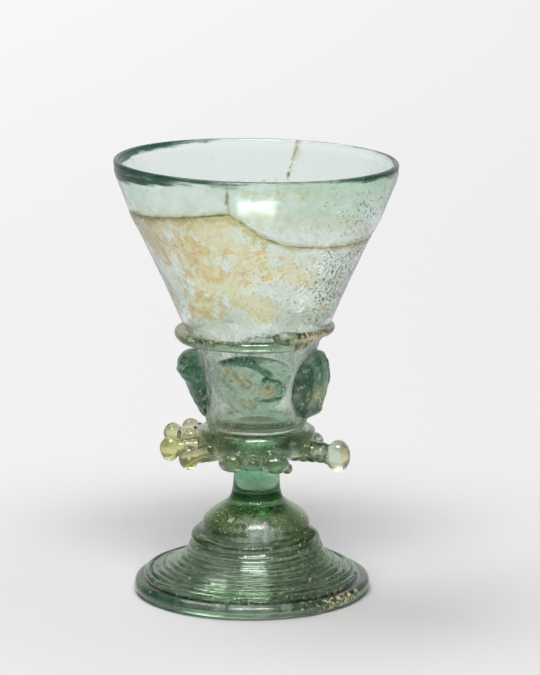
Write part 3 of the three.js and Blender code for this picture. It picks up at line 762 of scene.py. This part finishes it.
pruntLook = {"sink": 0.12, "sinkFast": 6, "domed": 0.25, "fine": 6, "rough": 0.08, "roughSize": 2.2}
prunts = {
    "Left": {
        "angle": -100, "middle": 53.0, "wide": 17, "tall": 17.2, "squarer": 0.1,
        "profile": [  # up, thickness
            (-1, 0.9), (-0.72, 2.0), (-0.45, 2.9), (-0.24, 3.4), (0.06, 3.9), (0.3, 4.8), (0.45, 5.7),
            (0.7, 6.2), (0.88, 5.8), (1, 4.4),
        ],
        "ridges": [  # half width, height, dark green with painted shade along it, line
            (0.16, 0.5, 0.6, [(-0.6, 0.35), (0, 0.42), (0.6, 0.3)]),
            (0.14, 0.3, 0.4, [(-0.3, -0.1), (0, -0.5), (0.1, -0.8)]),
        ],
        "gold": [(0.2, -0.15, 0.25)], "dark": 0.6, "teal": 0.6, "pale": 0.28,
    },
    "Front": {
        "angle": -5, "middle": 56.1, "wide": 18.6, "tall": 15, "squarer": 0.3,
        "profile": [(-1, 0.5), (-0.7, 1.1), (-0.3, 1.6), (0.1, 1.7), (0.5, 1.9), (0.8, 2.2), (1, 1.6)],
        "ridges": [
            (0.13, 0.9, 1.25, [(-0.7, 0.74), (-0.4, 0.84), (0.0, 0.84)]),
            (0.07, 1.0, 1.3, [(-0.16, 0.8), (0.0, 0.76), (0.16, 0.62)]),
            (0.055, 1.1, 1.3, [(0.16, 0.62), (0.42, 0.36), (0.34, 0.18)]),
            (0.05, 0.7, 1.3, [(0.36, 0.2), (0.6, 0.14), (0.85, -0.14), (0.7, -0.3)]),
            (0.05, 0.6, 1.3, [(0.14, -0.47), (0.42, -0.53), (0.74, -0.47)]),
            (0.12, 0.35, 0.3, [(-0.7, 0.1), (-0.5, -0.4), (-0.1, -0.7)]),
            (0.22, 0.35, 0, [(0.3, -0.14), (0.55, -0.2)]),
        ],
        "gold": [(0.42, -0.18, 0.27), (-0.6, 0.5, 0.22), (-0.2, 0.1, 0.25), (-0.05, -0.6, 0.2)],
        "dark": 0.0, "teal": 0.6, "pale": 0.28,
    },
    "Right": {
        "angle": 72, "middle": 54, "wide": 16, "tall": 17.5, "squarer": 0.1,
        "profile": [
            (-1, 1.9), (-0.8, 3.9), (-0.72, 4.2), (-0.6, 3.8), (-0.45, 3.9), (-0.1, 4.0), (0.2, 4.3),
            (0.6, 3.9), (0.85, 3.6), (1, 2.8),
        ],
        "ridges": [
            (0.12, 0.6, 1.1, [(-0.75, 0.6), (-0.7, 0), (-0.6, -0.6)]),
            (0.09, 0.5, 0.9, [(-0.3, 0.8), (-0.35, 0), (-0.25, -0.7)]),
            (0.08, 0.5, 0.9, [(0.15, 0.7), (0.1, 0), (0.05, -0.6)]),
            (0.16, 0.7, 0.6, [(-0.1, -0.7), (0.0, -0.78)]),
        ],
        "gold": [(-0.4, -0.2, 0.26), (0.1, -0.1, 0.26), (0, -0.6, 0.24)],
        "dark": 0.35, "teal": 0.6, "pale": 0.28,
    },
    "Back": {
        "angle": 170, "middle": 54.4, "wide": 17, "tall": 16.4, "squarer": 0.15,
        "profile": [(-1, 0.5), (-0.6, 1.4), (-0.2, 2.4), (0.2, 3.4), (0.5, 4.3), (0.8, 3.9), (1, 2.0)],
        "ridges": [
            (0.16, 0.5, 0.6, [(-0.6, 0.3), (0, 0.5), (0.5, 0.4)]),
            (0.12, 0.4, 0.5, [(0.1, 0.1), (0.3, -0.3), (0, -0.6)]),
        ],
        "gold": [(0.2, -0.3, 0.25)], "dark": 0.0, "teal": 0.1, "pale": 0.04,
    },
}


def lineDistance(points, x, y):
    least = 9.0
    for (fromX, fromY), (toX, toY) in zip(points, points[1:]):
        run = Vector((toX - fromX, toY - fromY))
        off = Vector((x - fromX, y - fromY))
        share = min(max(off.dot(run) / run.length_squared, 0), 1)
        least = min(least, (off - run * share).length)
    return least


def makePrunt(prunt):
    bm = bmesh.new()
    bmesh.ops.create_icosphere(bm, subdivisions=pruntLook["fine"], radius=1)
    for vertex in bm.verts:
        across, up, lift = vertex.co
        height = prunt["middle"] + up * prunt["tall"] / 2
        wall = bowlRadius(height)
        thick = valueAt(prunt["profile"], up, eased=True) * (1 - pruntLook["domed"] * across * across)
        for wide, proud, _, line in prunt["ridges"]:
            thick += proud * hump(lineDistance(line, across, up), 0, wide)
        place = Vector((across * prunt["wide"] / 2, up * prunt["tall"] / 2, prunt["angle"]))
        thick += pruntLook["rough"] * noise.noise(place / pruntLook["roughSize"])
        sunk = pruntLook["sink"] * max(lift * pruntLook["sinkFast"], -1)
        offset = thick * math.sqrt(lift) if lift > 0 else sunk
        side = across * (1 + prunt["squarer"] * rise(up, -0.2, 0.9)) * prunt["wide"] / 2
        vertex.co = around(prunt["angle"] + math.degrees(side / wall), wall + offset, height)
    return bm


def pruntLevels(prunt):
    def spot(angle, height):
        side = math.radians(fromAngle(angle, prunt["angle"])) * bowlRadius(height) / (prunt["wide"] / 2)
        return side, (height - prunt["middle"]) / (prunt["tall"] / 2)

    # painted shade along the ridges, the dark of their thick creases, on top of the prunt's dark level
    def dark(angle, radius, height):
        across, up = spot(angle, height)
        return prunt["dark"] + sum(shade * hump(lineDistance(line, across, up), 0, wide)
                                   for wide, _, shade, line in prunt["ridges"])

    def gold(angle, radius, height):
        across, up = spot(angle, height)
        return sum(hump(math.hypot(across - x, up - y), 0, wide) for x, y, wide in prunt["gold"])

    return {
        "dark": dark,
        "yellow": lambda a, r, z: 0.8 * gold(a, r, z),
        "pale": lambda a, r, z: prunt["pale"],
        "teal": lambda a, r, z: prunt["teal"],
        "gold": lambda a, r, z: 0.3 * prunt["teal"] + 0.2 * gold(a, r, z),
    }


pruntGlass = makeGlass("pruntGlass", {
    "through": (0.88, 0.96, 0.89), "depth": 4.0, "rough": 0.02,
    "ripple": 0.05, "streak": (2.5, 2.5, 5), "seeds": 0.25,
    "coats": {
        "teal": {**darkTint, "size": 1.2, "soft": 0.08, "colour": (0.46, 0.74, 0.60),
                 "other": (0.84, 0.95, 0.84), "thick": 0.07},
        # dark: also carries the painted shade along the ridges
        "dark": {**darkTint, "size": 1.6, "soft": 0.12, "colour": (0.05, 0.20, 0.14),
                 "other": (0.12, 0.34, 0.25)},
        "yellow": {**yellowTint, "size": 1.2, "soft": 0.15, "colour": (0.88, 0.80, 0.42),
                   "other": (0.98, 0.94, 0.66), "clear": 0.8, "rough": 0.25, "thick": 0.06},
        "pale": paleFilmAndSheen, "gold": goldFlecks,
    },
})
for side, prunt in prunts.items():
    makePiece(makePrunt(prunt), "prunt" + side, ["prunt_" + side.lower()], [pruntGlass],
              pruntLevels(prunt))


# Collar with its toes

collar = {
    "bore": 5.7, "radius": 14.8, "root": 11, "drop": 4.2, "voxel": 0.28, "smooth": 4,
    "balls": (0, 0.2, 0.4, 0.6, 0.78, 1), "armRoot": 1.15, "taper": 0.3,  # a toe is a row of balls
    "rough": 0.24, "roughSize": 3.2, "fine": 0.015, "fineSize": 1.0, "roughFrom": 8, "seed": 1,
    "calm": 0.9, "calmFrom": 2.5, "calmTo": 0.5,  # so much less rough near the shaft
    "outline": [  # out, up
        (0.5, 1), (0.78, 1.03), (0.9, 1.02), (0.98, 0.9), (1, 0.7), (0.93, 0.48), (0.66, 0.4), (0.25, 0.22),
    ],
}
toes = [  # angle, reach and height of the knob, half widths of arm and knob, its stretch sideways and up
    (-131, 22.2, 38.5, 2.0, 2.4, 1.0, 1.0),
    (-113, 23.0, 38.5, 2.0, 2.45, 1.0, 1.05),
    (-84, 21.8, 37.1, 2.3, 2.5, 1.05, 1.35),
    (-55, 20.4, 37.1, 2.3, 2.6, 1.0, 1.25),
    (-20, 17.6, 36.9, 2.0, 2.45, 1.4, 0.98),
    (-3, 16.0, 36.2, 1.7, 1.6, 1.2, 1.0),
    (15, 17.9, 36.8, 2.0, 2.5, 1.4, 1.0),
    (26, 17.4, 35.3, 1.4, 1.4, 1.1, 1.0),
    (62, 23.1, 37.3, 2.8, 3.05, 1.0, 1.36),
    (100, 15.2, 38.0, 1.8, 1.9, 1.4, 1.0),
    (137, 19.4, 37.4, 1.8, 1.9, 1.0, 1.1),
    (172, 21.0, 37.6, 1.8, 2.6, 1.1, 1.2),
    (203, 20.6, 37.2, 1.8, 2.6, 1.0, 1.25),
]


def makeCollar():
    top = shaftBase + 0.05
    bore = collar["bore"]
    outline = [(bore, collarLow), (bore, top)]
    for out, up in collar["outline"]:
        outline.append((bore + (collar["radius"] - bore) * out, collarLow + (top - collarLow) * up))
    bm = spun(outline)
    root, low = collar["root"], shaftBase - collar["drop"]
    for angle, reach, high, arm, knob, wide, tall in toes:
        for share in collar["balls"]:
            thick = arm * (collar["armRoot"] - collar["taper"] * share)
            spot = around(angle, root + (reach - root) * share, low + (high - low) * share)
            place = Matrix.Translation(spot) @ Matrix.Rotation(math.radians(angle), 4, "Z")
            if share == 1:
                thick = knob
                place @= Matrix.Diagonal((wide, 1, tall, 1))
            bmesh.ops.create_icosphere(bm, subdivisions=3, radius=thick * mm, matrix=place)
    bm = fused(bm, collar["voxel"], collar["smooth"])
    noise.seed_set(collar["seed"])  # noise_vector otherwise differs in each run
    for vertex in bm.verts:
        if math.hypot(vertex.co.x, vertex.co.y) > collar["roughFrom"] * mm:
            high = rise(vertex.co.z / mm, shaftBase - collar["calmFrom"], shaftBase - collar["calmTo"])
            swell = noise.noise_vector(vertex.co / (collar["roughSize"] * mm)) * collar["rough"]
            swell *= 1 - collar["calm"] * high
            swell += noise.noise_vector(vertex.co / (collar["fineSize"] * mm)) * collar["fine"]
            vertex.co += swell * mm
    bmesh.ops.recalc_face_normals(bm, faces=bm.faces)
    return bm


collarGlass = makeGlass("collarGlass", {
    "through": (0.97, 0.988, 0.955), "depth": 5.0, "rough": 0.02, "gloss": 0.7,
    "ripple": 0.12, "streak": (2, 2, 1.4),
    "coats": {
        "teal": {**darkTint, "size": 2.2, "colour": (0.58, 0.78, 0.62), "other": (0.88, 0.96, 0.86)},
        "dark": {**darkTint, "size": 2.0, "soft": 0.14, "colour": (0.10, 0.14, 0.05),
                 "other": (0.22, 0.32, 0.20)},
        "yellow": {**yellowTint, "colour": (0.72, 0.58, 0.10), "other": (0.58, 0.66, 0.18), "strength": 0.85},
        "amber": {**yellowTint, "size": 2.0, "colour": (0.90, 0.56, 0.16), "other": (0.94, 0.78, 0.40),
                  "clear": 0.88, "rough": 0.2, "thick": 0.05},
        "pale": paleFilmAndSheen, "gold": goldFlecks,
    },
})
makePiece(makeCollar(), "toedCollar", ["toed_collar"], [collarGlass], {
    "dark": lambda a, r, z: (0.16 + 0.9 * hump(a, -64, 44) + 0.6 * hump(a, 72, 36)) * rise(z, 36.8, 39.2)
    * (1 - rise(r, 16.5, 19)) + 0.6 * hump(a, 58, 25) * (1 - rise(r, 20, 22))
    + 0.9 * hump(a, 62, 14) * hump(r, 20.6, 0.7),
    "amber": lambda a, r, z: 0.45 * hump(a, -57, 9) * rise(z, 37.5, 39.5) * rise(r, 17, 19)
    + hump(a, 62, 12) * rise(r, 24.4, 25.4),
    "teal": lambda a, r, z: (0.5 + 0.5 * rise(a, 40, 55)) * rise(a, -60, -25) + 0.6 * rise(-a, 130, 150),
    "yellow": lambda a, r, z: (hump(a, -90, 64) + 0.15 * hump(a, 62, 14)) * rise(r, 12, 17)
    + 0.1 * hump(a, 0, 25),
    "pale": lambda a, r, z: 0.08 + 0.1 * hump(a, 62, 12) * rise(r, 21, 24),
    "gold": lambda a, r, z: 0.1 + 0.25 * hump(a, 62, 12) * rise(r, 24.4, 26),
})


# Foot and the thread round it

foot = {
    "neck": [  # radius, height, from the top
        (5.85, 42.02), (5.8, 37), (5.8, 30), (5.86, 28.2), (5.98, 26.8), (6.15, 25.8), (6.5, 24.5),
        (7.1, 23.6), (7.9, 22.9), (9.1, 22.15), (10.5, 21.3), (11.7, 20.4), (12.6, 19.5), (13.2, 18.6),
    ],
    "side": [
        (13.4, 18.0), (13.7, 16.4), (14.1, 14.25), (15.4, 11.3), (17.4, 8.2), (20.84, 5.9), (24.4, 4.4),
        (27.4, 3.8),
    ],
    "vault": [(9.6, 18.9), (7.6, 19.9), (5.0, 20.7), (2.4, 21.1), (0, 21.2)],  # of the inside
    "wall": 1.5, "insideFrom": 0.5, "insideStep": 1.5, "insideRows": 15,  # rows down the side
    "roll": 1.7, "raised": 0.5, "standing": 2.4, "drift": -1.5, "bellHeight": 23,
    "waver": 0.18, "waverSize": 9, "waverSeed": 8,
}
footThread = {
    "start": 80, "pitch": 1.82, "firstPitch": 3.8, "firstAt": 1.9, "turns": 9.9, "runOut": 0.6,
    "peak": 1.55, "firstPeak": 2.3, "groove": 0.36, "flank": 0.98, "edge": 1.2, "sink": 0.08,
    "uneven": 0.2, "swell": 0.16, "tilt": 1.7, "tiltShift": 0.4,  # the first turns hang lower at the front
    "round": 360, "rows": 200, "backShare": 0.06,
}
footSide = curved(foot["side"], 0.1)


def alongSide(length):
    # The point of the foot's side at a length from its top, and the direction out of it
    left = length
    for (fromRadius, fromHeight), (toRadius, toHeight) in zip(footSide, footSide[1:]):
        run = Vector((toRadius - fromRadius, toHeight - fromHeight))
        if left <= run.length:
            break
        left -= run.length
    run.normalize()
    return Vector((fromRadius, fromHeight)) + run * left, Vector((-run.y, run.x))


def handFormed(bm):  # the bell drifts to the left and is uneven
    for vertex in bm.verts:
        share = min(max(1 - vertex.co.z / (foot["bellHeight"] * mm), 0), 1)
        vertex.co.x += foot["drift"] * mm * share ** 2
    waver(bm, foot["waver"], foot["waverSize"], foot["waverSeed"])
    return bm


def makeFoot():
    roll = foot["roll"]
    inside = []
    for row in range(foot["insideRows"]):
        spot, out = alongSide(foot["insideFrom"] + foot["insideStep"] * row)
        inside.append(tuple(spot - out * foot["wall"]))
    brim = arc((brimRadius - roll, roll + foot["raised"]), roll, 78, -90, 16)
    outline = [(0, shaftBase + 0.02), *foot["neck"], *footSide[::6], *brim]
    outline += [(brimRadius - roll - foot["standing"], 0.0), *reversed(inside), *foot["vault"]]
    return handFormed(spun(outline, closed=False))


def windingAt(loops):  # how far down the side the thread's middle is
    extra = footThread["firstPitch"] - footThread["pitch"]
    bulge = extra * math.sqrt(math.pi) / 2 * math.erf(loops)
    return footThread["firstAt"] + footThread["pitch"] * loops + bulge


def unevenAt(angle, turn, across, along, seed):
    return footThread["uneven"] * noise.noise(Vector((math.radians(angle) * across, turn * along, seed)))


def ridgeHeight(angle, length):
    # How far the wound thread stands out of the side
    thread = footThread
    part = ((thread["start"] - angle) / 360) % 1
    height = -thread["sink"]
    for turn in range(math.ceil(thread["turns"]) + 1):
        loops = turn + part
        if loops > thread["turns"]:
            break
        thick = math.exp(-loops * loops)
        half = (thread["pitch"] + (thread["firstPitch"] - thread["pitch"]) * thick) / 2
        hang = thread["tilt"] * math.cos(math.radians(angle)) + thread["tiltShift"]
        wander = unevenAt(angle, turn, 2.2, 1.7, 4) + hang * math.exp(-loops / 2)
        across = abs(length - windingAt(loops) - wander) / half
        if across >= thread["edge"]:
            continue
        peak = thread["peak"] + (thread["firstPeak"] - thread["peak"]) * thick
        peak += unevenAt(angle, turn, 3, 2.3, 9)
        peak += thread["swell"] * math.cos(math.pi * loops) * (1 - thick)
        beside = rise(across, thread["flank"], thread["edge"])
        low = thread["groove"] * (1 - beside) - thread["sink"] * beside
        ends = rise(loops, 0, 0.03) * rise(thread["turns"] - loops, 0, 0.08)
        ridge = low + (peak - thread["groove"]) * max(0.0, 1 - across ** 2.6) ** 0.55
        height = max(height, ridge * ends)
    return height


def makeFootThread():
    # A band round the foot: its outer face is ridged by the winding, its inner face lies in the foot's side
    length = windingAt(footThread["turns"]) + footThread["pitch"] * footThread["runOut"]
    backShare = footThread["backShare"]
    bm = bmesh.new()
    bmesh.ops.create_grid(bm, x_segments=footThread["round"], y_segments=footThread["rows"], size=0.5)
    for vertex in bm.verts:
        angle = vertex.co.x * 360
        share = vertex.co.y + 0.5
        if share < 1 - backShare:
            down = length * share / (1 - backShare)
            lift = ridgeHeight(angle, down)
        else:
            down = length * (1 - share) / backShare
            lift = -2 * footThread["sink"]
        spot, out = alongSide(down)
        spot += out * lift
        vertex.co = around(angle, spot.x, spot.y)
    return handFormed(joined(bm))


footGlass = makeGlass("footGlass", {
    "through": (0.72, 0.87, 0.75), "depth": 4.0, "gloss": 0.3,
    "ripple": 0.06, "streak": (6, 6, 3),
    "coats": {
        "dark": {**darkTint, "size": 2.6, "colour": (0.22, 0.29, 0.11), "other": (0.42, 0.52, 0.28)},
        # shade: painted shade for the bell's sides
        "shade": {**darkTint, "size": 3.0, "colour": (0.26, 0.34, 0.18), "other": (0.42, 0.52, 0.32)},
        # brim: dark green, laid on as painted shade away from the front
        "brim": {**darkTint, "size": 4.0, "colour": (0.05, 0.20, 0.11), "other": (0.16, 0.38, 0.25)},
        "teal": {**darkTint, "size": 2.4, "colour": (0.14, 0.38, 0.27), "other": (0.36, 0.62, 0.50)},
        "yellow": {**yellowTint, "strength": 0.35},
        # pale: the film, here also a painted highlight on the dome
        "pale": {**paleFilmAndSheen, "size": 2.4, "soft": 0.2, "colour": (0.66, 0.86, 0.76),
                 "other": (0.86, 0.96, 0.90), "rough": 0.25, "thick": 0.03},
        "gold": goldFlecks,
    },
})
footThreadGlass = makeGlass("footThreadGlass", {
    "through": (0.80, 0.92, 0.80), "depth": 3.0, "gloss": 0.3,
    "ripple": 0.01, "streak": (5, 5, 1.5), "seeds": 0.2,
    "coats": {
        "dark": {**darkTint, "colour": (0.30, 0.40, 0.20), "other": (0.52, 0.66, 0.42)},
        "pale": paleFilmAndSheen, "gold": goldFlecks,
    },
})


def onBrim(radius):
    return rise(radius, 27.2, 28.2)


makePiece(makeFoot(), "footCore", ["foot_core"], [footGlass], {
    # dark: darker olive over the dome and upper bell, painted shade towards the sides, less under the dome's
    # painted highlight
    "dark": lambda a, r, z: (0.5 + 0.6 * rise(abs(a), 35, 65)) * rise(z, 11, 14) * (1 - rise(z, 23, 26))
    * (1 - 0.6 * hump(a, 2, 22) * hump(z, 17.6, 2.4)),
    # shade: painted shade on the sides of the upper bell
    "shade": lambda a, r, z: 0.9 * rise(abs(a), 45, 75) * rise(z, 14, 17) * (1 - rise(z, 23, 25)),
    # brim: the brim's dark green, painted shade all round but the front
    "brim": lambda a, r, z: (0.95 - 0.7 * hump(a, -2, 26)) * onBrim(r),
    "teal": lambda a, r, z: (0.6 + 0.2 * hump(a, -60, 40)) * rise(z, 25, 29) * (1 - rise(z, 33.5, 35))
    + 0.1 * hump(a, 0, 40) * onBrim(r),
    "yellow": lambda a, r, z: 0.4 * rise(z, 17, 20) * (1 - rise(z, 23, 26)),
    # pale: a thin film all over, a painted highlight on the front of the dome and painted light on the front
    # of the brim
    "pale": lambda a, r, z: 0.05 + 0.7 * hump(a, 2, 22) * hump(z, 18.2, 2.4)
    + 0.3 * hump(a, -4, 22) * onBrim(r),
    "gold": lambda a, r, z: 0.2 * rise(z, 15, 18) * (1 - rise(z, 23, 26))
    + (0.16 + 0.36 * hump(a, 48, 20)) * onBrim(r),
})
makePiece(makeFootThread(), "footThread", ["foot_thread"], [footThreadGlass], {
    # dark: darker on the upper turns, and painted shade towards the sides and all round but the front
    "dark": lambda a, r, z: 0.35 * rise(z, 9, 16) * (1 - 0.6 * hump(a, 0, 35)) + 0.45 * hump(a, 65, 35)
    + 0.3 * hump(a, -95, 40) + 0.1 * (1 - hump(a, 0, 30)),
    "pale": lambda a, r, z: 0.08,
    "gold": lambda a, r, z: 0.14 + 0.12 * hump(a, 40, 30),
})


# View and bounces

scene = bpy.context.scene
scene.view_settings.view_transform = "Standard"
scene.cycles.max_bounces = 40
scene.cycles.transmission_bounces = 40
scene.cycles.glossy_bounces = 8
